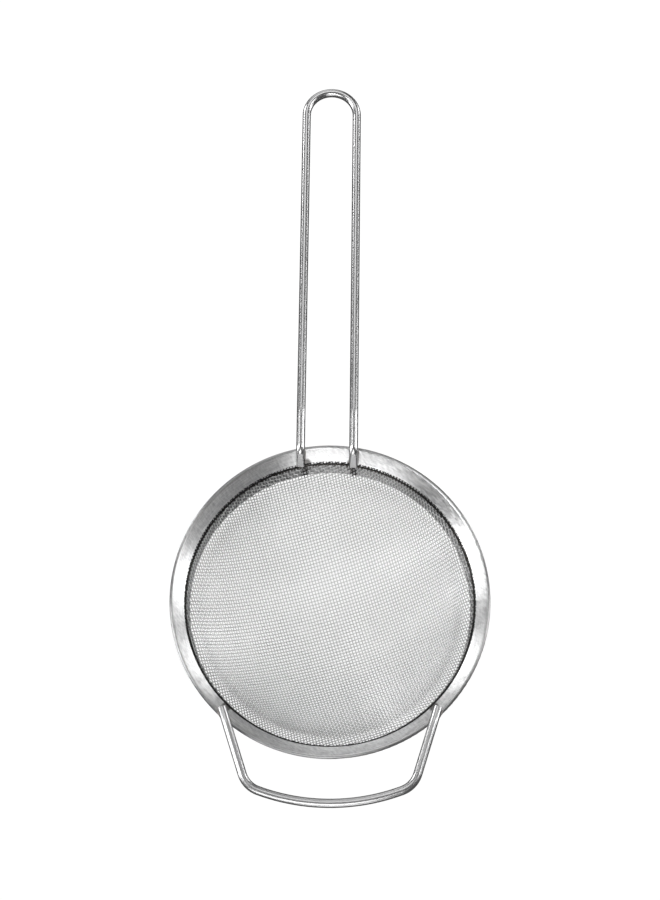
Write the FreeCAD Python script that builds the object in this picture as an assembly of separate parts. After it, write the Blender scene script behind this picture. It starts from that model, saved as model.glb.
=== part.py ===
import FreeCAD, Part
import math
import os

# Stainless-steel tea strainer, in millimetres.
# Origin: centre of the rim, level with its top edge. +Z is up, +Y points along the handle,
# -Y to the rest loop, and the bowl hangs below the rim.
# Every piece is one solid: a folded rim band, the wire-cloth bowl crimped in its fold, two bent
# wires welded on top of the band, and the four welds.

Vector = FreeCAD.Vector

# ---- driving dimensions -------------------------------------------------------------------
# rim band: a strip folded double over the cloth's edge and dished towards the bowl
RIM_RADIUS = 45.0             # outermost edge of the fold
STRIP_THICKNESS = 0.35
BAND_DISH_RADIUS = 25.0       # radius of the band's curved section
BAND_TOP_SLOPE = 57.0         # degrees below horizontal, at the fold
MOUTH_RADIUS = 41.2           # where the inner flange ends
OUTER_FLANGE_RADIUS = 38.8    # where the outer flange ends, under the cloth, by the handle
OUTER_FLANGE_SHIFT = 0.9      # its edge lies off-centre, so it is narrower by the rest loop

# wire cloth: two crossing wires thick
CLOTH_THICKNESS = 0.50
CRIMP_CLEARANCE = 0.01        # between cloth and strip, on each side
CLOTH_EDGE_INSET = 0.30       # from the fold's centre to the cloth's cut edge
SHOULDER_RADIUS = 5.0         # where the cloth bends down over the outer flange's edge
BOWL_WALL_SLOPE = 60.0        # degrees below horizontal, just inside the shoulder

# both bent wires
WIRE_DIAMETER = 2.5
WELD_SINK = 0.15              # how far a wire is pressed into the band

# handle
HANDLE_SPACING = 15.2         # centre to centre of its two legs
HANDLE_LENGTH = 158.5         # from the rim's centre to the far end
HANDLE_FOOT_BEND = 3.2        # centre-line radius where it bends over the fold
HANDLE_CRANK_Y = 54.8         # where the legs level out
HANDLE_CRANK_SLOPE = 4.0      # degrees, between the rim and the crank
HANDLE_CRANK_RADIUS = 25.0
HANDLE_LEAN = 0.75            # degrees: the handle is welded a little out of line
HANDLE_OFFSET = -0.9          # sideways, at its foot
PRESS_DEPTH_EDGE = 0.10       # flat pressed on the foot by the electrode, over the fold
PRESS_DEPTH_TIP = 0.42        # and at the cut tip

# rest loop
LOOP_RADIUS = 57.2            # its base is an arc about the rim's centre
LOOP_CORNER_RADIUS = 7.0
LOOP_LEG_SLANT = 17.8         # degrees from the Y axis
LOOP_LEG_X = 25.95            # half the distance between the legs, at LOOP_LEG_Y
LOOP_LEG_Y = -42.7
LOOP_TIP_Y = -31.0
LOOP_HEIGHT = 1.3             # centre line above the rim's top edge
LOOP_FOOT_RUN = 4.2           # length of the foot that dips onto the band
LOOP_FOOT_DROP = 0.75
LOOP_FOOT_BEND = 9.0

# welds: metal squeezed out beside each foot
WELD_HEIGHT = 0.45            # above the band
WELD_SPREAD = 0.40            # beyond the wire's side
WELD_INSET = 0.3              # from the wire's cut tip
HANDLE_WELD_LENGTH = 4.2
LOOP_WELD_LENGTH = 4.4

# ---- worked-out values --------------------------------------------------------------------
WIRE_RADIUS = WIRE_DIAMETER / 2
GAP_HALF = CLOTH_THICKNESS / 2 + CRIMP_CLEARANCE
FOLD_RADIUS = GAP_HALF + STRIP_THICKNESS
FOLD_CENTRE = Vector(RIM_RADIUS - FOLD_RADIUS, 0, -FOLD_RADIUS)


def fall(slope):
    """Unit vector square to a surface of this slope, pointing down and away from the axis."""
    angle = math.radians(slope)
    return Vector(math.sin(angle), 0, -math.cos(angle))


DISH_CENTRE = FOLD_CENTRE - fall(BAND_TOP_SLOPE) * BAND_DISH_RADIUS


def seat(slope, offset=0.0):
    """Point of the band's section, offset outwards from the middle of the fold's gap."""
    return DISH_CENTRE + fall(slope) * (BAND_DISH_RADIUS + offset)


def slope_at_radius(radius, offset):
    """Slope at which the offset section reaches a radius."""
    sine = (radius - DISH_CENTRE.x) / (BAND_DISH_RADIUS + offset)
    return math.degrees(math.asin(sine))


MOUTH_SLOPE = slope_at_radius(MOUTH_RADIUS, -FOLD_RADIUS)
FLANGE_END_SLOPE = slope_at_radius(OUTER_FLANGE_RADIUS, GAP_HALF)


# ---- helpers ------------------------------------------------------------------------------
def line(start, end):
    return Part.LineSegment(start, end).toShape()


def arc(start, middle, end):
    return Part.Arc(start, middle, end).toShape()


def seat_arc(slope_a, slope_b, offset):
    """Arc along the band's section between two slopes."""
    middle = (slope_a + slope_b) / 2
    return arc(seat(slope_a, offset), seat(middle, offset), seat(slope_b, offset))


def fold_arc(radius, backwards=False):
    """Half circle round the fold's centre, from its lower side to its upper side."""
    angle = math.radians(BAND_TOP_SLOPE)
    lower = FOLD_CENTRE + fall(BAND_TOP_SLOPE) * radius
    middle = FOLD_CENTRE + Vector(math.cos(angle), 0, math.sin(angle)) * radius
    upper = FOLD_CENTRE - fall(BAND_TOP_SLOPE) * radius
    if backwards:
        return arc(upper, middle, lower)
    return arc(lower, middle, upper)


def revolved(edges):
    """Solid of revolution about Z of the section that the edges enclose."""
    face = Part.Face(Part.Wire(edges))
    return face.revolve(Vector(0, 0, 0), Vector(0, 0, 1), 360)


def rounded_path(points, radii):
    """Straight runs through the points, with an arc of the given radius at each inner point."""
    edges = []
    start = points[0]
    for index, radius in enumerate(radii, start=1):
        corner = points[index]
        back = (points[index - 1] - corner).normalize()
        ahead = (points[index + 1] - corner).normalize()
        half = back.getAngle(ahead) / 2
        bisector = (back + ahead).normalize()
        touch = radius / math.tan(half)
        enter = corner + back * touch
        leave = corner + ahead * touch
        top = corner + bisector * (radius / math.sin(half) - radius)
        edges.append(line(start, enter))
        edges.append(arc(enter, top, leave))
        start = leave
    edges.append(line(start, points[-1]))
    return edges


def mirrored(edges):
    """The same edges on the other side of the YZ plane, in the reverse order."""
    copies = [edge.mirror(Vector(0, 0, 0), Vector(1, 0, 0)) for edge in edges]
    return copies[::-1]


def rod(edges, start, direction):
    """Bent wire along a path of joined edges that starts at a point in a direction."""
    circle = Part.Circle(start, direction, WIRE_RADIUS).toShape()
    profile = Part.Face(Part.Wire(circle))
    path = Part.Wire(Part.__sortEdges__(edges))
    return path.makePipe(profile)


def under_band(growth=0.0):
    """Ring below the band's upper surface, or below a surface that much above it."""
    offset = FOLD_RADIUS + growth
    depth = RIM_RADIUS / 3
    mouth = seat(MOUTH_SLOPE, -offset)
    lower = FOLD_CENTRE + fall(BAND_TOP_SLOPE) * offset
    edges = [
        seat_arc(MOUTH_SLOPE, BAND_TOP_SLOPE, -offset),
        fold_arc(offset, backwards=True),
        line(lower, Vector(lower.x, 0, -depth)),
        line(Vector(lower.x, 0, -depth), Vector(mouth.x, 0, -depth)),
        line(Vector(mouth.x, 0, -depth), mouth),
    ]
    return revolved(edges)


# ---- the pieces ---------------------------------------------------------------------------
def make_rim_band():
    """Strip folded round the cloth: short inner flange, fold, longer outer flange."""
    untrimmed_slope = slope_at_radius(OUTER_FLANGE_RADIUS - STRIP_THICKNESS, GAP_HALF)
    edges = [
        fold_arc(FOLD_RADIUS),
        seat_arc(BAND_TOP_SLOPE, MOUTH_SLOPE, -FOLD_RADIUS),
        line(seat(MOUTH_SLOPE, -FOLD_RADIUS), seat(MOUTH_SLOPE, -GAP_HALF)),
        seat_arc(MOUTH_SLOPE, BAND_TOP_SLOPE, -GAP_HALF),
        fold_arc(GAP_HALF, backwards=True),
        seat_arc(BAND_TOP_SLOPE, untrimmed_slope, GAP_HALF),
        line(seat(untrimmed_slope, GAP_HALF), seat(untrimmed_slope, FOLD_RADIUS)),
        seat_arc(untrimmed_slope, BAND_TOP_SLOPE, FOLD_RADIUS),
    ]
    trim = Part.makeCylinder(
        OUTER_FLANGE_RADIUS + OUTER_FLANGE_SHIFT,
        RIM_RADIUS,
        Vector(0, -OUTER_FLANGE_SHIFT, -RIM_RADIUS),
    )
    return revolved(edges).cut(trim).Solids[0]


def make_mesh_bowl():
    """Closed thin shell of the wire cloth, from the crimp over the shoulder to the dome."""
    half = CLOTH_THICKNESS / 2
    edge_slope = BAND_TOP_SLOPE - math.degrees(CLOTH_EDGE_INSET / BAND_DISH_RADIUS)
    shoulder_centre = seat(FLANGE_END_SLOPE) + fall(FLANGE_END_SLOPE) * SHOULDER_RADIUS
    middle_slope = (FLANGE_END_SLOPE + BOWL_WALL_SLOPE) / 2
    wall_top = shoulder_centre - fall(BOWL_WALL_SLOPE) * SHOULDER_RADIUS
    dome_radius = wall_top.x / math.sin(math.radians(BOWL_WALL_SLOPE))
    dome_centre = Vector(0, 0, wall_top.z + dome_radius * math.cos(math.radians(BOWL_WALL_SLOPE)))

    def skin(offset):
        """Edges of one face of the cloth, from the crimp inwards to the axis."""
        crimp = seat_arc(edge_slope, FLANGE_END_SLOPE, offset)
        shoulder = arc(
            shoulder_centre - fall(FLANGE_END_SLOPE) * (SHOULDER_RADIUS - offset),
            shoulder_centre - fall(middle_slope) * (SHOULDER_RADIUS - offset),
            shoulder_centre - fall(BOWL_WALL_SLOPE) * (SHOULDER_RADIUS - offset),
        )
        dome = arc(
            dome_centre + fall(BOWL_WALL_SLOPE) * (dome_radius + offset),
            dome_centre + fall(BOWL_WALL_SLOPE / 2) * (dome_radius + offset),
            dome_centre + fall(0) * (dome_radius + offset),
        )
        return [crimp, shoulder, dome]

    bottom = dome_centre.z - dome_radius
    edges = skin(-half) + skin(half)
    edges.append(line(seat(edge_slope, -half), seat(edge_slope, half)))
    edges.append(line(Vector(0, 0, bottom + half), Vector(0, 0, bottom - half)))
    print(f"dome radius {dome_radius:.2f}, bowl depth {-bottom + half:.2f}")
    return revolved(Part.__sortEdges__(edges))


def handle_foot():
    """Tip, corner over the fold and crank of the handle's right leg, before the lean."""
    x = HANDLE_SPACING / 2
    clear = WIRE_RADIUS - WELD_SINK
    tip = seat(MOUTH_SLOPE, -FOLD_RADIUS - clear)
    top = seat(BAND_TOP_SLOPE, -FOLD_RADIUS - clear)
    tip_y = math.sqrt(tip.x ** 2 - x ** 2)
    top_y = math.sqrt(top.x ** 2 - x ** 2)
    foot_rise = (top.z - tip.z) / (top_y - tip_y)
    crank_rise = math.tan(math.radians(HANDLE_CRANK_SLOPE))
    fold_y = math.sqrt(FOLD_CENTRE.x ** 2 - x ** 2)
    over_fold_z = FOLD_CENTRE.z + FOLD_RADIUS + WIRE_RADIUS
    foot_level = tip.z - foot_rise * tip_y
    crank_level = over_fold_z - crank_rise * fold_y
    corner_y = (crank_level - foot_level) / (foot_rise - crank_rise)
    corner_z = tip.z + foot_rise * (corner_y - tip_y)
    crank_z = corner_z + crank_rise * (HANDLE_CRANK_Y - corner_y)
    return (
        Vector(x, tip_y, tip.z),
        Vector(x, corner_y, corner_z),
        Vector(x, HANDLE_CRANK_Y, crank_z),
    )


def leaned(shape):
    """Handle parts are set square first, then leaned about the foot and moved sideways."""
    foot = handle_foot()[0]
    shape.rotate(Vector(0, foot.y, 0), Vector(0, 0, 1), -HANDLE_LEAN)
    shape.translate(Vector(HANDLE_OFFSET, 0, 0))
    return shape


def press_flat(side):
    """Wedge that cuts the electrode's flat on top of one foot."""
    tip, corner = handle_foot()[:2]
    along = (corner - tip).normalize()
    up = Vector(0, -along.z, along.y)
    at_tip = tip - along + up * (WIRE_RADIUS - PRESS_DEPTH_TIP)
    at_edge = corner + up * (WIRE_RADIUS - PRESS_DEPTH_EDGE)
    height = up * WIRE_DIAMETER
    corners = [at_tip, at_edge, at_edge + height, at_tip + height, at_tip]
    polygon = [Vector(side * tip.x - WIRE_DIAMETER, point.y, point.z) for point in corners]
    face = Part.Face(Part.makePolygon(polygon))
    return face.extrude(Vector(2 * WIRE_DIAMETER, 0, 0))


def make_handle():
    """One wire: foot, crank, leg, half-circle end, and the same back again."""
    tip, corner, crank = handle_foot()
    half_spacing = HANDLE_SPACING / 2
    end_y = HANDLE_LENGTH - WIRE_RADIUS - half_spacing
    leg_end = Vector(half_spacing, end_y, crank.z)
    right = rounded_path([tip, corner, crank, leg_end], [HANDLE_FOOT_BEND, HANDLE_CRANK_RADIUS])
    bend = arc(
        leg_end,
        Vector(0, end_y + half_spacing, crank.z),
        Vector(-half_spacing, end_y, crank.z),
    )
    handle = rod(right + [bend] + mirrored(right), tip, corner - tip)
    for side in (-1, 1):
        handle = handle.cut(press_flat(side))
    return leaned(handle).cut(under_band())


def loop_points():
    """Tip and foot corner of the loop's right leg, and its leg direction."""
    slant = math.radians(LOOP_LEG_SLANT)
    outward = Vector(-math.sin(slant), -math.cos(slant), 0)
    tip_x = LOOP_LEG_X + (LOOP_TIP_Y - LOOP_LEG_Y) * math.tan(slant)
    tip = Vector(tip_x, LOOP_TIP_Y, LOOP_HEIGHT - LOOP_FOOT_DROP)
    corner = Vector(tip_x, LOOP_TIP_Y, LOOP_HEIGHT) + outward * LOOP_FOOT_RUN
    return tip, corner, outward


def make_rest_loop():
    """One wire: foot, slanted leg, rounded corner, base arc, and the same back again."""
    tip, corner, outward = loop_points()
    inward = Vector(outward.y, -outward.x, 0)
    # centre of the corner's arc: inside the base arc, and one corner radius in from the leg
    guide = corner + inward * LOOP_CORNER_RADIUS
    flat_guide = Vector(guide.x, guide.y, 0)
    reach = LOOP_RADIUS - LOOP_CORNER_RADIUS
    along = flat_guide.dot(outward)
    run = -along + math.sqrt(along ** 2 - flat_guide.dot(flat_guide) + reach ** 2)
    centre = guide + outward * run
    leg_end = centre - inward * LOOP_CORNER_RADIUS
    radial = Vector(centre.x, centre.y, 0).normalize()
    base_start = Vector(radial.x * LOOP_RADIUS, radial.y * LOOP_RADIUS, LOOP_HEIGHT)
    halfway = (radial - inward).normalize()
    corner_arc = arc(leg_end, centre + halfway * LOOP_CORNER_RADIUS, base_start)
    base_middle = Vector(0, -LOOP_RADIUS, LOOP_HEIGHT)
    base_end = Vector(-base_start.x, base_start.y, LOOP_HEIGHT)
    base = arc(base_start, base_middle, base_end)
    right = rounded_path([tip, corner, leg_end], [LOOP_FOOT_BEND]) + [corner_arc]
    loop = rod(right + [base] + mirrored(right), tip, corner - tip)
    return loop.cut(under_band())


def weld_beads(start, end, wire):
    """Metal squeezed out on both sides of a foot that runs from start to end."""
    length = (end - start).Length
    zone = Part.makeCylinder(WIRE_RADIUS + WELD_SPREAD, length, start, end - start)
    return zone.common(under_band(WELD_HEIGHT)).cut(under_band()).cut(wire)


def make_handle_weld(side, wire):
    tip, corner = handle_foot()[:2]
    along = (corner - tip).normalize()
    start = tip + along * WELD_INSET
    end = start + along * HANDLE_WELD_LENGTH
    start.x *= side
    end.x *= side
    lean = leaned(line(start, end))
    return weld_beads(lean.Vertexes[0].Point, lean.Vertexes[1].Point, wire)


def make_rest_weld(side, wire):
    tip, corner = loop_points()[:2]
    along = (corner - tip).normalize()
    start = tip + along * WELD_INSET
    end = start + along * LOOP_WELD_LENGTH
    start.x *= side
    end.x *= side
    return weld_beads(start, end, wire)


# ---- build and export ---------------------------------------------------------------------
handle = make_handle()
rest_loop = make_rest_loop()
parts = {
    "rim_band": make_rim_band(),
    "mesh_bowl": make_mesh_bowl(),
    "handle": handle,
    "rest_loop": rest_loop,
    "weld_handle_left": make_handle_weld(-1, handle),
    "weld_handle_right": make_handle_weld(1, handle),
    "weld_rest_left": make_rest_weld(-1, rest_loop),
    "weld_rest_right": make_rest_weld(1, rest_loop),
}
os.makedirs("parts", exist_ok=True)
for name, shape in parts.items():
    print(f"{name}: valid {shape.isValid()}, solids {len(shape.Solids)}, volume {shape.Volume:.2f} mm3")
    shape.exportStep(f"parts/{name}.step")
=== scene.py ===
import math

import bpy
import numpy as np
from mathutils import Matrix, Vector
from mathutils.bvhtree import BVHTree


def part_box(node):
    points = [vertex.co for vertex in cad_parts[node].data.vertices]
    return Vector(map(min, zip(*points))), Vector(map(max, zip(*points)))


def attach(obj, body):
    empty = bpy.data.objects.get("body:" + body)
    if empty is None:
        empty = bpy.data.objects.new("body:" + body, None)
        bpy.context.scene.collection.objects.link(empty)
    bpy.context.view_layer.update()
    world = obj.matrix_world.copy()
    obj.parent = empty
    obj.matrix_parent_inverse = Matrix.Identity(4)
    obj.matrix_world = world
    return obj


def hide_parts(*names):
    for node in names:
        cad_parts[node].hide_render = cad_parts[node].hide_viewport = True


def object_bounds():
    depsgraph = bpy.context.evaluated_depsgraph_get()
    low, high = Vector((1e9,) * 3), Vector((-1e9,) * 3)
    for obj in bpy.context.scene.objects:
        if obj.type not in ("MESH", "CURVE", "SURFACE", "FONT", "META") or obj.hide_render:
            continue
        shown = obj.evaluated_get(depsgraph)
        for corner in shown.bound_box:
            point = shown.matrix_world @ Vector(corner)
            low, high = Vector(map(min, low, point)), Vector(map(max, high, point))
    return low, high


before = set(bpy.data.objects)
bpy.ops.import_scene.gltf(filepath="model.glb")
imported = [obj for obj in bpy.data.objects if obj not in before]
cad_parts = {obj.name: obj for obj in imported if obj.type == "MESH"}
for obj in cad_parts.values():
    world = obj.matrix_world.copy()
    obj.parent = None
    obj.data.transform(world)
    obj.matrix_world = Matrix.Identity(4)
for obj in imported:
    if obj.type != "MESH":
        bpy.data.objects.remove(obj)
cad_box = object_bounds()

# Tea strainer, in metres, in the CAD frame: the rim's centre is the origin, +Y runs along the
# handle and the bowl hangs below. The band, both bent wires and the welds are the CAD parts. The
# wire cloth is woven here, wire by wire, along the middle of the CAD cloth shell.

MM = 0.001

# ---- woven cloth ----------------------------------------------------------------------------
CLOTH_WIRE_RADIUS = 0.14 * MM
WARP_PITCH = 0.90 * MM              # from one warp wire to the next
WEFT_PITCH = 0.98 * MM
WEAVE_TURN = math.radians(16.5)     # the weft's direction at the bowl's middle, from +X
KNUCKLE_SHARE = 0.22                # of a pitch: half the flat length where one wire rides another
CRIMP_SQUEEZE = 0.20                # how much the folded band flattens the weave
CLOTH_TRIM = 0.45 * MM              # from the shell's outermost edge to the wires' cut ends
WIRE_SIDES = 6
PROFILE_STEPS = 240
PROFILE_AZIMUTH = math.radians(11)  # where the shell's section is read, clear of its seams
PROFILE_START = 0.2 * MM            # first radius of the section
PAST_EDGE = 10 * MM                 # how far the surface goes on beyond the cloth's edge
SETTLE_ROUNDS = 12                  # Newton steps for each crossing
TINY = 0.001 * MM                   # keeps a division away from zero

# ---- rim --------------------------------------------------------------------------------------
RIM_RADIUS = 45.0 * MM              # the CAD band's outermost edge
MOUTH_RADIUS = 41.2 * MM            # where the CAD band's inner flange ends
FLANGE_REACH = 6.2 * MM             # from the outermost edge to the outer flange's end, by the handle

# ---- camera ---------------------------------------------------------------------------------
CAMERA_PLACE = (0.0, -0.1200, 0.5058)
CAMERA_TILT = math.radians(17.91)
CAMERA_LENS = 74
SENSOR = 36

# ---- studio ---------------------------------------------------------------------------------
FLOOR_RADIUS = 3.0
FLOOR_GLOW = 0.99
FLOOR_SHADE = 0.04
BACKDROP_HEIGHT = 2.5
BACKDROP_GAP = 0.05                 # from the floor's edge in to the backdrop
BACKDROP_DIP = 0.01                 # how far it starts below the floor
BACKDROP_GLOW = 0.93
CIRCLE_CORNERS = 96
WORLD_STRENGTH = 0.12

# name, azimuth from +X, elevation, angular size in degrees, strength
LIGHTS = (
    ("front_high", 270, 48, 24, 0.8),
    ("front_low", 274, 9, 30, 0.5),
    ("front_left", 242, 30, 26, 0.65),
    ("left_high", 180, 50, 24, 0.95),
    ("left_low", 184, 11, 30, 1.15),
    ("right_high", 5, 48, 20, 0.6),
    ("right_low", 7, 11, 24, 0.75),
    ("back_left", 142, 12, 20, 0.85),
    ("back_low", 100, 12, 44, 0.5),
    ("back_right", 38, 12, 20, 0.6),
    ("overhead", 95, 61, 34, 0.46),
)


# ---- the cloth's surface --------------------------------------------------------------------
def read_profile():
    """Radii and heights of the middle of the CAD cloth shell, along one meridian."""
    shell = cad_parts["mesh_bowl"].data
    corners = [vertex.co for vertex in shell.vertices]
    faces = [tuple(face.vertices) for face in shell.polygons]
    tree = BVHTree.FromPolygons(corners, faces)
    low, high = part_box("mesh_bowl")
    radii = np.linspace(PROFILE_START, high.x - CLOTH_TRIM, PROFILE_STEPS)
    heights = []
    for radius in radii:
        x = radius * math.cos(PROFILE_AZIMUTH)
        y = radius * math.sin(PROFILE_AZIMUTH)
        upper = tree.ray_cast(Vector((x, y, high.z + MM)), Vector((0, 0, -1)))[0]
        lower = tree.ray_cast(Vector((x, y, low.z - MM)), Vector((0, 0, 1)))[0]
        heights.append((upper.z + lower.z) / 2)
    return radii, smoothed(np.array(heights))


def smoothed(values, passes=6):
    """The same values with the shell's flat facets evened out."""
    result = values.copy()
    for _ in range(passes):
        result[1:-1] = (result[:-2] + 2 * result[1:-1] + result[2:]) / 4
    return result


class Surface:
    """The cloth's middle surface, turned about Z. Beyond its edge it goes on at the edge's slope."""

    def __init__(self, radii, heights):
        slopes = np.gradient(heights, radii)
        self.edge = radii[-1]
        self.radii = np.append(radii, radii[-1] + PAST_EDGE)
        self.heights = np.append(heights, heights[-1] + PAST_EDGE * slopes[-1])
        self.slopes = np.append(slopes, slopes[-1])
        runs = np.hypot(np.diff(self.radii), np.diff(self.heights))
        self.lengths = np.concatenate([[0], np.cumsum(runs)])

    def height(self, radius):
        return np.interp(radius, self.radii, self.heights)

    def slope(self, radius):
        return np.interp(radius, self.radii, self.slopes)

    def radius_at(self, length):
        """Radius at a distance from the middle, measured along the surface."""
        return np.interp(length, self.lengths, self.radii - self.radii[0])

    def normals(self, points):
        """Unit vectors square to the surface, pointing into the bowl."""
        radius = np.maximum(np.hypot(points[..., 0], points[..., 1]), TINY)
        slope = self.slope(radius)
        raw = np.stack([
            -slope * points[..., 0] / radius,
            -slope * points[..., 1] / radius,
            np.ones_like(radius),
        ], axis=-1)
        return raw / np.linalg.norm(raw, axis=-1, keepdims=True)


# ---- the weave: a net of wires at fixed pitches laid on the surface ---------------------------
def meridian_points(surface, pitch, count, angle):
    """Points one pitch apart along the surface, from the middle outwards."""
    radius = surface.radius_at(pitch * np.arange(count + 1))
    return np.stack([
        radius * math.cos(angle),
        radius * math.sin(angle),
        surface.height(radius),
    ], axis=-1)


def settle(surface, start, side_a, side_b, length_a, length_b):
    """Points on the surface at given distances from two known neighbours, by Newton's method."""
    x = start[:, 0].copy()
    y = start[:, 1].copy()
    for _ in range(SETTLE_ROUNDS):
        radius = np.maximum(np.hypot(x, y), TINY)
        slope = surface.slope(radius)
        rise_x = slope * x / radius
        rise_y = slope * y / radius
        point = np.stack([x, y, surface.height(radius)], axis=-1)
        from_a = point - side_a
        from_b = point - side_b
        miss_a = (from_a ** 2).sum(axis=1) - length_a ** 2
        miss_b = (from_b ** 2).sum(axis=1) - length_b ** 2
        ax = 2 * (from_a[:, 0] + from_a[:, 2] * rise_x)
        ay = 2 * (from_a[:, 1] + from_a[:, 2] * rise_y)
        bx = 2 * (from_b[:, 0] + from_b[:, 2] * rise_x)
        by = 2 * (from_b[:, 1] + from_b[:, 2] * rise_y)
        spread = ax * by - ay * bx
        spread = np.where(np.abs(spread) < 1e-12, 1e-12, spread)
        limit = 0.5 * length_a
        x -= np.clip((by * miss_a - ay * miss_b) / spread, -limit, limit)
        y -= np.clip((ax * miss_b - bx * miss_a) / spread, -limit, limit)
    return np.stack([x, y, surface.height(np.hypot(x, y))], axis=-1)


def weave_net(surface):
    """Where the wires cross: an array over warp number, weft number and x, y, z."""
    half = int(1.2 * surface.lengths[-1] / min(WARP_PITCH, WEFT_PITCH))
    net = np.full((2 * half + 1, 2 * half + 1, 3), np.nan)
    for side in (1, -1):
        turn = 0 if side > 0 else math.pi
        steps = half + side * np.arange(half + 1)
        net[steps, half] = meridian_points(surface, WARP_PITCH, half, WEAVE_TURN + turn)
        weft_angle = WEAVE_TURN + math.pi / 2 + turn
        net[half, steps] = meridian_points(surface, WEFT_PITCH, half, weft_angle)
    for warp_side in (1, -1):
        for weft_side in (1, -1):
            for total in range(2, 2 * half + 1):
                i = np.arange(max(1, total - half), min(half, total - 1) + 1)
                warp = half + warp_side * i
                weft = half + weft_side * (total - i)
                side_a = net[warp, weft - weft_side]
                side_b = net[warp - warp_side, weft]
                corner = net[warp - warp_side, weft - weft_side]
                near = np.hypot(side_a[:, 0], side_a[:, 1]) < surface.edge + 2 * WEFT_PITCH
                near &= np.hypot(side_b[:, 0], side_b[:, 1]) < surface.edge + 2 * WEFT_PITCH
                near &= np.isfinite(corner).all(axis=1)
                if not near.any():
                    continue
                guess = side_a[near] + side_b[near] - corner[near]
                net[warp[near], weft[near]] = settle(
                    surface, guess, side_a[near], side_b[near], WEFT_PITCH, WARP_PITCH)
    outside = ~(np.hypot(net[..., 0], net[..., 1]) < surface.edge)
    net[outside] = np.nan
    return net


def wire_path(surface, crossings, first_side, fold_radius):
    """Centre line of one wire: over one crossing wire, under the next, flat where they touch."""
    count = len(crossings)
    sides = first_side * np.where(np.arange(count) % 2 == 0, 1, -1)
    normals = surface.normals(crossings)
    radius = np.hypot(crossings[:, 0], crossings[:, 1])
    in_fold = np.clip((radius - fold_radius) / MM + 1, 0, 1)
    lift = (sides * CLOTH_WIRE_RADIUS * (1 - CRIMP_SQUEEZE * in_fold))[:, None] * normals
    ahead = np.diff(crossings, axis=0)
    before = np.vstack([ahead[:1], ahead])
    after = np.vstack([ahead, ahead[-1:]])
    path = np.empty((2 * count, 3))
    path[0::2] = crossings + lift - KNUCKLE_SHARE * before
    path[1::2] = crossings + lift + KNUCKLE_SHARE * after
    return path, np.repeat(normals, 2, axis=0)


def tube(path, normals, first_corner):
    """Corners and faces of a round wire along a path, with closed ends."""
    along = np.gradient(path, axis=0)
    along /= np.linalg.norm(along, axis=1, keepdims=True)
    across = np.cross(along, normals)
    across /= np.linalg.norm(across, axis=1, keepdims=True)
    up = np.cross(across, along)
    angles = 2 * math.pi * np.arange(WIRE_SIDES) / WIRE_SIDES
    rings = path[:, None, :] + CLOTH_WIRE_RADIUS * (
        np.cos(angles)[None, :, None] * up[:, None, :]
        + np.sin(angles)[None, :, None] * across[:, None, :]
    )
    faces = []
    for ring in range(len(path) - 1):
        for side in range(WIRE_SIDES):
            a = first_corner + ring * WIRE_SIDES + side
            b = first_corner + ring * WIRE_SIDES + (side + 1) % WIRE_SIDES
            faces.append((a, b, b + WIRE_SIDES, a + WIRE_SIDES))
    last = first_corner + (len(path) - 1) * WIRE_SIDES
    faces.append(tuple(first_corner + side for side in reversed(range(WIRE_SIDES))))
    faces.append(tuple(last + side for side in range(WIRE_SIDES)))
    return rings.reshape(-1, 3), faces


def runs(line):
    """Start and end of each unbroken run of crossings in a row of the net."""
    inside = np.isfinite(line[:, 0]).astype(int)
    edges = np.diff(np.concatenate([[0], inside, [0]]))
    return zip(np.flatnonzero(edges == 1), np.flatnonzero(edges == -1))


def cloth_piece(name, surface, net, numbers, is_warp, fold_radius, material):
    """One piece of the cloth: the wires of one set with these numbers."""
    corners = []
    faces = []
    total = 0
    for number in numbers:
        line = net[number] if is_warp else net[:, number]
        for start, end in runs(line):
            if end - start < 3:
                continue
            over = 1 if (number + start) % 2 == 0 else -1
            first_side = over if is_warp else -over
            path, normals = wire_path(surface, line[start:end], first_side, fold_radius)
            wire_corners, wire_faces = tube(path, normals, total)
            corners.append(wire_corners)
            faces += wire_faces
            total += len(wire_corners)
    mesh = bpy.data.meshes.new(name)
    mesh.from_pydata(np.concatenate(corners).tolist(), [], faces)
    mesh.update()
    mesh.shade_smooth()
    mesh.materials.append(material)
    piece = bpy.data.objects.new(name, mesh)
    bpy.context.scene.collection.objects.link(piece)
    return piece


def make_cloth(material):
    """Four pieces: each set of wires in two halves, so that each mesh stays a handy size."""
    surface = Surface(*read_profile())
    net = weave_net(surface)
    fold_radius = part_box("rim_band")[1].x - FLANGE_REACH
    middle = len(net) // 2
    halves = (("a", range(middle)), ("b", range(middle, len(net))))
    pieces = []
    for is_warp, set_name in ((True, "warp"), (False, "weft")):
        for half_name, numbers in halves:
            name = f"cloth_{set_name}_{half_name}"
            pieces.append(
                cloth_piece(name, surface, net, numbers, is_warp, fold_radius, material))
    return pieces


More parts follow.
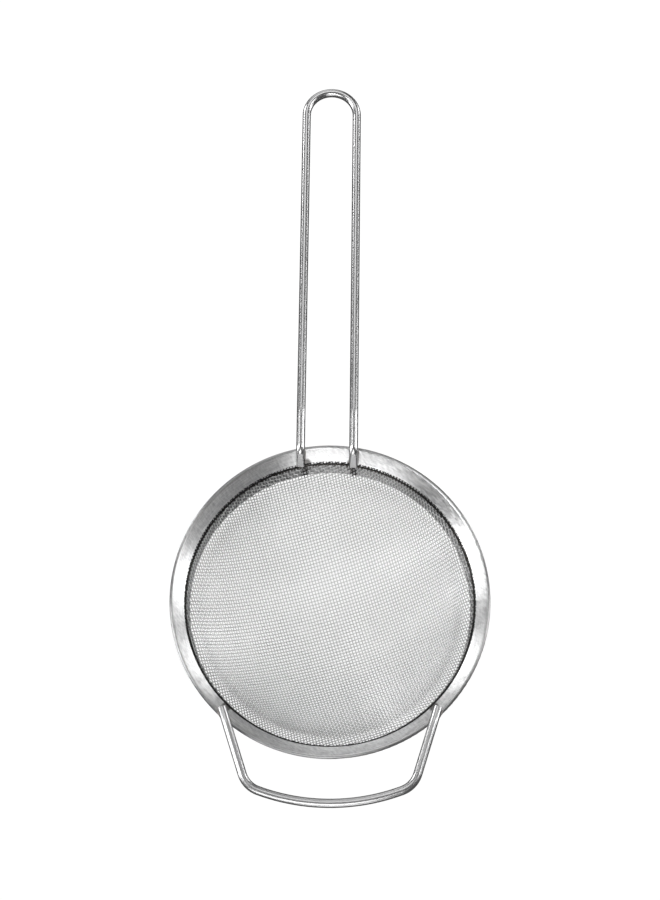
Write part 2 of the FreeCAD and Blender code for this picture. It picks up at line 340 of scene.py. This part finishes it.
# ---- materials ------------------------------------------------------------------------------
class Graph:
    """A material's node graph, with a short way to add a node and join its inputs."""

    def __init__(self, name):
        self.material = bpy.data.materials.new(name)
        self.material.use_nodes = True
        self.nodes = self.material.node_tree.nodes
        self.links = self.material.node_tree.links
        self.shader = self.nodes["Principled BSDF"]

    def add(self, kind, inputs=(), **settings):
        """New node. Each input is a number, a tuple, or another node's output."""
        node = self.nodes.new(kind)
        for key, value in settings.items():
            setattr(node, key, value)
        for key, value in dict(inputs).items():
            self.join(node.inputs[key], value)
        return node

    def join(self, socket, value):
        if isinstance(value, bpy.types.NodeSocket):
            self.links.new(value, socket)
        else:
            socket.default_value = value

    def maths(self, operation, a, b=0.0):
        return self.add("ShaderNodeMath", {0: a, 1: b}, operation=operation).outputs[0]

    def noise(self, vector, scale, detail=3.0, roughness=0.5):
        inputs = {"Vector": vector, "Scale": scale, "Detail": detail, "Roughness": roughness}
        return self.add("ShaderNodeTexNoise", inputs).outputs["Fac"]

    def remap(self, value, low, high, to_low, to_high):
        inputs = {0: value, 1: low, 2: high, 3: to_low, 4: to_high}
        return self.add("ShaderNodeMapRange", inputs).outputs[0]

    def tint(self, value, dark, light):
        """Colour that goes from dark to light with a value from 0 to 1."""
        ramp = self.add("ShaderNodeValToRGB", {"Fac": value})
        ramp.color_ramp.elements[0].color = (*dark, 1)
        ramp.color_ramp.elements[1].color = (*light, 1)
        return ramp.outputs["Color"]

    def place(self):
        """The point's place in the object, in metres, and its x, y and z."""
        spot = self.add("ShaderNodeTexCoord").outputs["Object"]
        split = self.add("ShaderNodeSeparateXYZ", {0: spot})
        return spot, split.outputs[0], split.outputs[1], split.outputs[2]

    def radius(self, x, y):
        """Distance from the bowl's axis."""
        return self.maths(
            "SQRT", self.maths("ADD", self.maths("MULTIPLY", x, x), self.maths("MULTIPLY", y, y)))

    def facing_up(self):
        """How far the surface faces up: 1 straight up, -1 straight down."""
        normal = self.add("ShaderNodeTexCoord").outputs["Normal"]
        return self.add("ShaderNodeSeparateXYZ", {0: normal}).outputs[2]

    def crease(self, radius):
        """Mask for the painted shade under the inner flange's edge: 0 in the bowl, rising to 1 just
        before the inner flange's edge, and 1 from there on.
        """
        return self.remap(radius, MOUTH_RADIUS - 0.8 * MM, MOUTH_RADIUS - 0.55 * MM, 0, 1)

    def near(self, x, y, places, reach):
        """1 close to any of some places in plan, falling to 0 at a distance."""
        result = 0.0
        for place in places:
            from_x = self.maths("SUBTRACT", x, place[0])
            from_y = self.maths("SUBTRACT", y, place[1])
            closeness = self.remap(self.radius(from_x, from_y), 0.7 * reach, reach, 1, 0)
            result = self.maths("MAXIMUM", closeness, result)
        return result

    def blend(self, share, first, second):
        """Colour that goes from the first to the second as the share goes from 0 to 1."""
        inputs = {0: share, 6: first, 7: second}
        return self.add("ShaderNodeMix", inputs, data_type="RGBA").outputs[2]

    def vector(self, x, y, z):
        return self.add("ShaderNodeCombineXYZ", {0: x, 1: y, 2: z}).outputs[0]

    def bump(self, height, strength, distance):
        inputs = {"Height": height, "Strength": strength, "Distance": distance}
        return self.add("ShaderNodeBump", inputs).outputs["Normal"]


def weld_places(handle_shift, loop_shift):
    """Plan positions by the four feet's tips. Each shift is a pair: how far towards the middle line,
    then how far on past the tip, into the bowl.
    """
    handle_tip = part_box("handle")[0].y
    loop_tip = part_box("rest_loop")[1].y
    places = []
    for side in ("left", "right"):
        low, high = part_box(f"weld_handle_{side}")
        x = (low.x + high.x) / 2
        places.append((x - math.copysign(handle_shift[0], x), handle_tip - handle_shift[1]))
        low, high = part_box(f"weld_rest_{side}")
        x = (low.x + high.x) / 2
        places.append((x - math.copysign(loop_shift[0], x), loop_tip + loop_shift[1]))
    return places


def band_steel():
    """Strip steel, brushed round the rim, with mottled brush marks and a few stray scratches.

    It is darkened by painted shade on the flange under the cloth, round the fold and in a line under
    the inner flange's edge, and by a painted shadow beside each foot.
    """
    g = Graph("band_brushed_steel")
    spot, x, y, z = g.place()
    radius = g.radius(x, y)
    around_x = g.maths("DIVIDE", x, radius)
    around_y = g.maths("DIVIDE", y, radius)
    across = g.maths("ADD", g.maths("MULTIPLY", radius, 0.62), g.maths("MULTIPLY", z, 0.79))
    streak_place = g.vector(
        g.maths("MULTIPLY", around_x, 9),
        g.maths("MULTIPLY", around_y, 9),
        g.maths("MULTIPLY", across, 4200),
    )
    streak = g.noise(streak_place, 1.0, detail=4, roughness=0.6)
    mark_place = g.vector(
        g.maths("MULTIPLY", g.maths("ADD", x, y), 1500),
        g.maths("MULTIPLY", g.maths("SUBTRACT", y, x), 420),
        g.maths("MULTIPLY", z, 600),
    )
    mark = g.noise(mark_place, 1.0, detail=3, roughness=0.55)
    scratch_place = g.vector(
        g.maths("MULTIPLY", g.maths("ADD", x, y), 300),
        g.maths("MULTIPLY", g.maths("SUBTRACT", x, y), 5200),
        g.maths("MULTIPLY", z, 300),
    )
    scratch = g.remap(g.noise(scratch_place, 1.0, detail=1), 0.68, 0.76, 0, 1)
    shade = g.maths("ADD", g.maths("MULTIPLY", streak, 0.5), g.maths("MULTIPLY", mark, 0.5))
    shade = g.remap(shade, 0.34, 0.64, 0, 1)
    bright = g.tint(shade, (0.62, 0.62, 0.625), (0.99, 0.99, 0.99))
    # Painted shade: inner darkens the up-facing flange under the cloth, where the cloth and the inner
    # flange shade it.
    upward = g.remap(g.facing_up(), -0.1, 0.1, 0, 1)
    inner = g.remap(radius, MOUTH_RADIUS - 0.12 * MM, MOUTH_RADIUS, 1, 0)
    inner = g.maths("MULTIPLY", upward, inner)
    # Painted shade: folded darkens the band towards its outer fold.
    folded = g.remap(radius, RIM_RADIUS - 1.3 * MM, RIM_RADIUS - 0.6 * MM, 0, 0.7)
    # dull holds the band's tone with the painted shade round the fold and on the flange blended in.
    dull = g.blend(folded, bright, (0.12, 0.12, 0.12, 1))
    dull = g.blend(inner, dull, (0.26, 0.26, 0.26, 1))
    # Painted shadow: heat darkens the band beside each foot, where the foot's shadow falls.
    beside_foot = weld_places((0.8 * MM, -1.4 * MM), (0.4 * MM, 0.5 * MM))
    heat = g.maths("MULTIPLY", g.near(x, y, beside_foot, 1.55 * MM), 0.8)
    # Painted shade: edge darkens a line under the inner flange's edge; dark gathers it with the
    # painted shadow by the feet.
    edge = g.maths("MULTIPLY", inner, g.crease(radius))
    dark = g.maths("MULTIPLY", upward, g.maths("MAXIMUM", heat, edge))
    g.join(g.shader.inputs["Base Color"], g.blend(dark, dull, (0.06, 0.055, 0.05, 1)))
    rough = g.maths("ADD", g.remap(mark, 0.3, 0.7, 0.28, 0.48), g.maths("MULTIPLY", scratch, 0.1))
    g.join(g.shader.inputs["Roughness"], rough)
    relief = g.maths("ADD", shade, g.maths("MULTIPLY", scratch, 0.8))
    g.join(g.shader.inputs["Normal"], g.bump(relief, 0.35, 0.03 * MM))
    g.join(g.shader.inputs["Tangent"], g.add("ShaderNodeTangent", axis="Z").outputs[0])
    g.shader.inputs["Metallic"].default_value = 1
    g.shader.inputs["Anisotropic"].default_value = 0.8
    g.shader.inputs["Anisotropic Rotation"].default_value = 0.25
    return g.material


def wire_steel(name, stretch, haziness):
    """Drawn and polished wire with faint drawing lines that run along it."""
    g = Graph(name)
    spot, x, y, z = g.place()
    line_place = g.vector(
        g.maths("MULTIPLY", x, stretch[0]),
        g.maths("MULTIPLY", y, stretch[1]),
        g.maths("MULTIPLY", z, stretch[2]),
    )
    lines = g.noise(line_place, 1.0, detail=4, roughness=0.6)
    haze = g.noise(spot, 140, detail=3)
    g.join(g.shader.inputs["Base Color"], g.tint(lines, (0.40, 0.40, 0.405), (0.52, 0.52, 0.52)))
    g.join(g.shader.inputs["Roughness"], g.remap(haze, 0.3, 0.7, haziness - 0.03, haziness + 0.03))
    g.join(g.shader.inputs["Normal"], g.bump(lines, 0.04, 0.01 * MM))
    g.shader.inputs["Metallic"].default_value = 1
    return g.material


def weld_steel():
    """Squeezed-out weld metal: dull, rough and brown-grey from the heat."""
    g = Graph("weld_heat_tint")
    spot = g.place()[0]
    grain = g.noise(spot, 2600, detail=4, roughness=0.65)
    tint = g.noise(spot, 500, detail=2)
    g.join(g.shader.inputs["Base Color"], g.tint(tint, (0.16, 0.14, 0.13), (0.42, 0.40, 0.39)))
    g.join(g.shader.inputs["Roughness"], g.remap(grain, 0.3, 0.7, 0.38, 0.6))
    g.join(g.shader.inputs["Normal"], g.bump(grain, 0.5, 0.06 * MM))
    g.shader.inputs["Metallic"].default_value = 1
    return g.material


def cloth_steel():
    """Fine drawn wire, a little dull. Painted shade darkens it up the wall and under the inner
    flange's edge, and a painted shadow darkens it past the tips of the feet.
    """
    g = Graph("cloth_wire_steel")
    spot, x, y = g.place()[:3]
    radius = g.radius(x, y)
    tone = g.noise(spot, 90, detail=2)
    grain = g.noise(spot, 4000, detail=2)
    shade = g.maths("ADD", g.maths("MULTIPLY", tone, 0.6), g.maths("MULTIPLY", grain, 0.4))
    bright = g.tint(shade, (0.54, 0.54, 0.54), (0.72, 0.72, 0.72))
    # Painted shade: wall darkens the cloth up the wall towards the rim.
    wall = g.remap(radius, 35 * MM, 40.3 * MM, 0, 0.3)
    # Painted shadow: darkens the cloth just past the tip of each foot.
    tip_painted_shadow = g.near(x, y, weld_places((0, 0.3 * MM), (0, 0.8 * MM)), 1.4 * MM)
    dark = g.maths("MAXIMUM", g.maths("MAXIMUM", wall, g.crease(radius)), tip_painted_shadow)
    g.join(g.shader.inputs["Base Color"], g.blend(dark, bright, (0.03, 0.03, 0.03, 1)))
    g.join(g.shader.inputs["Roughness"], g.remap(grain, 0.3, 0.7, 0.26, 0.38))
    g.join(g.shader.inputs["Normal"], g.bump(grain, 0.2, 0.01 * MM))
    g.shader.inputs["Metallic"].default_value = 1
    return g.material


def finish_cad_part(name, material):
    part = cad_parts[name]
    part.data.materials.clear()
    part.data.materials.append(material)


# ---- the object -----------------------------------------------------------------------------
finish_cad_part("rim_band", band_steel())
finish_cad_part("handle", wire_steel("handle_wire_steel", (9000, 120, 9000), 0.26))
finish_cad_part("rest_loop", wire_steel("loop_wire_steel", (400, 1600, 9000), 0.32))
weld_material = weld_steel()
for weld in ("weld_handle_left", "weld_handle_right", "weld_rest_left", "weld_rest_right"):
    finish_cad_part(weld, weld_material)

for piece in make_cloth(cloth_steel()):
    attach(piece, "root")
    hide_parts("mesh_bowl")


# ---- the studio -----------------------------------------------------------------------------
def glowing(name, shade, strength):
    """Matt material that shines evenly."""
    g = Graph(name)
    g.shader.inputs["Base Color"].default_value = (shade, shade, shade, 1)
    g.shader.inputs["Roughness"].default_value = 0.9
    g.shader.inputs["Specular IOR Level"].default_value = 0
    g.shader.inputs["Emission Color"].default_value = (1, 1, 1, 1)
    g.shader.inputs["Emission Strength"].default_value = strength
    return g.material


def circle(radius, height):
    """Corners evenly spaced round a level circle."""
    angles = np.linspace(0, 2 * math.pi, CIRCLE_CORNERS, endpoint=False)
    return [(radius * math.cos(angle), radius * math.sin(angle), height) for angle in angles]


def stage_piece(name, corners, faces, material):
    """A piece of the studio, which is no part of the object."""
    mesh = bpy.data.meshes.new(name)
    mesh.from_pydata(corners, [], faces)
    mesh.materials.append(material)
    piece = bpy.data.objects.new(name, mesh)
    piece.visible_glossy = False
    bpy.context.scene.collection.objects.link(piece)
    return piece


def make_floor():
    """Round light table that the bowl stands on. It shines, so it stays pale under the bowl."""
    ring = circle(FLOOR_RADIUS, cad_box[0].z)
    face = tuple(range(CIRCLE_CORNERS))
    stage_piece("floor", ring, [face], glowing("floor_glow", FLOOR_SHADE, FLOOR_GLOW))


def make_backdrop():
    """Pale wall round the floor, seen by the camera only, so that low views stay pale too."""
    level = cad_box[0].z
    radius = FLOOR_RADIUS - BACKDROP_GAP
    lower = circle(radius, level - BACKDROP_DIP)
    upper = circle(radius, level + BACKDROP_HEIGHT)
    count = CIRCLE_CORNERS
    faces = [(i, (i + 1) % count, count + (i + 1) % count, count + i) for i in range(count)]
    material = glowing("backdrop_glow", 0, BACKDROP_GLOW)
    backdrop = stage_piece("backdrop", lower + upper, faces, material)
    backdrop.visible_diffuse = False
    backdrop.visible_shadow = False


def make_lights():
    for name, azimuth, elevation, size, strength in LIGHTS:
        lamp = bpy.data.lights.new(name, "SUN")
        lamp.energy = strength
        lamp.angle = math.radians(size)
        light = bpy.data.objects.new(name, lamp)
        a = math.radians(azimuth)
        e = math.radians(elevation)
        toward = Vector((math.cos(a) * math.cos(e), math.sin(a) * math.cos(e), math.sin(e)))
        light.rotation_euler = toward.to_track_quat("Z", "Y").to_euler()
        light.location = toward
        bpy.context.scene.collection.objects.link(light)


def make_world():
    world = bpy.data.worlds.new("studio")
    world.use_nodes = True
    world.node_tree.nodes["Background"].inputs["Color"].default_value = (1, 1, 1, 1)
    world.node_tree.nodes["Background"].inputs["Strength"].default_value = WORLD_STRENGTH
    bpy.context.scene.world = world


def make_camera():
    camera = bpy.data.cameras.new("camera")
    camera.lens = CAMERA_LENS
    camera.sensor_width = SENSOR
    camera.clip_start = 0.01
    holder = bpy.data.objects.new("camera", camera)
    holder.location = CAMERA_PLACE
    holder.rotation_euler = (CAMERA_TILT, 0, 0)
    bpy.context.scene.collection.objects.link(holder)
    bpy.context.scene.camera = holder


make_floor()
make_backdrop()
make_lights()
make_world()
make_camera()
bpy.context.scene.view_settings.view_transform = "Standard"
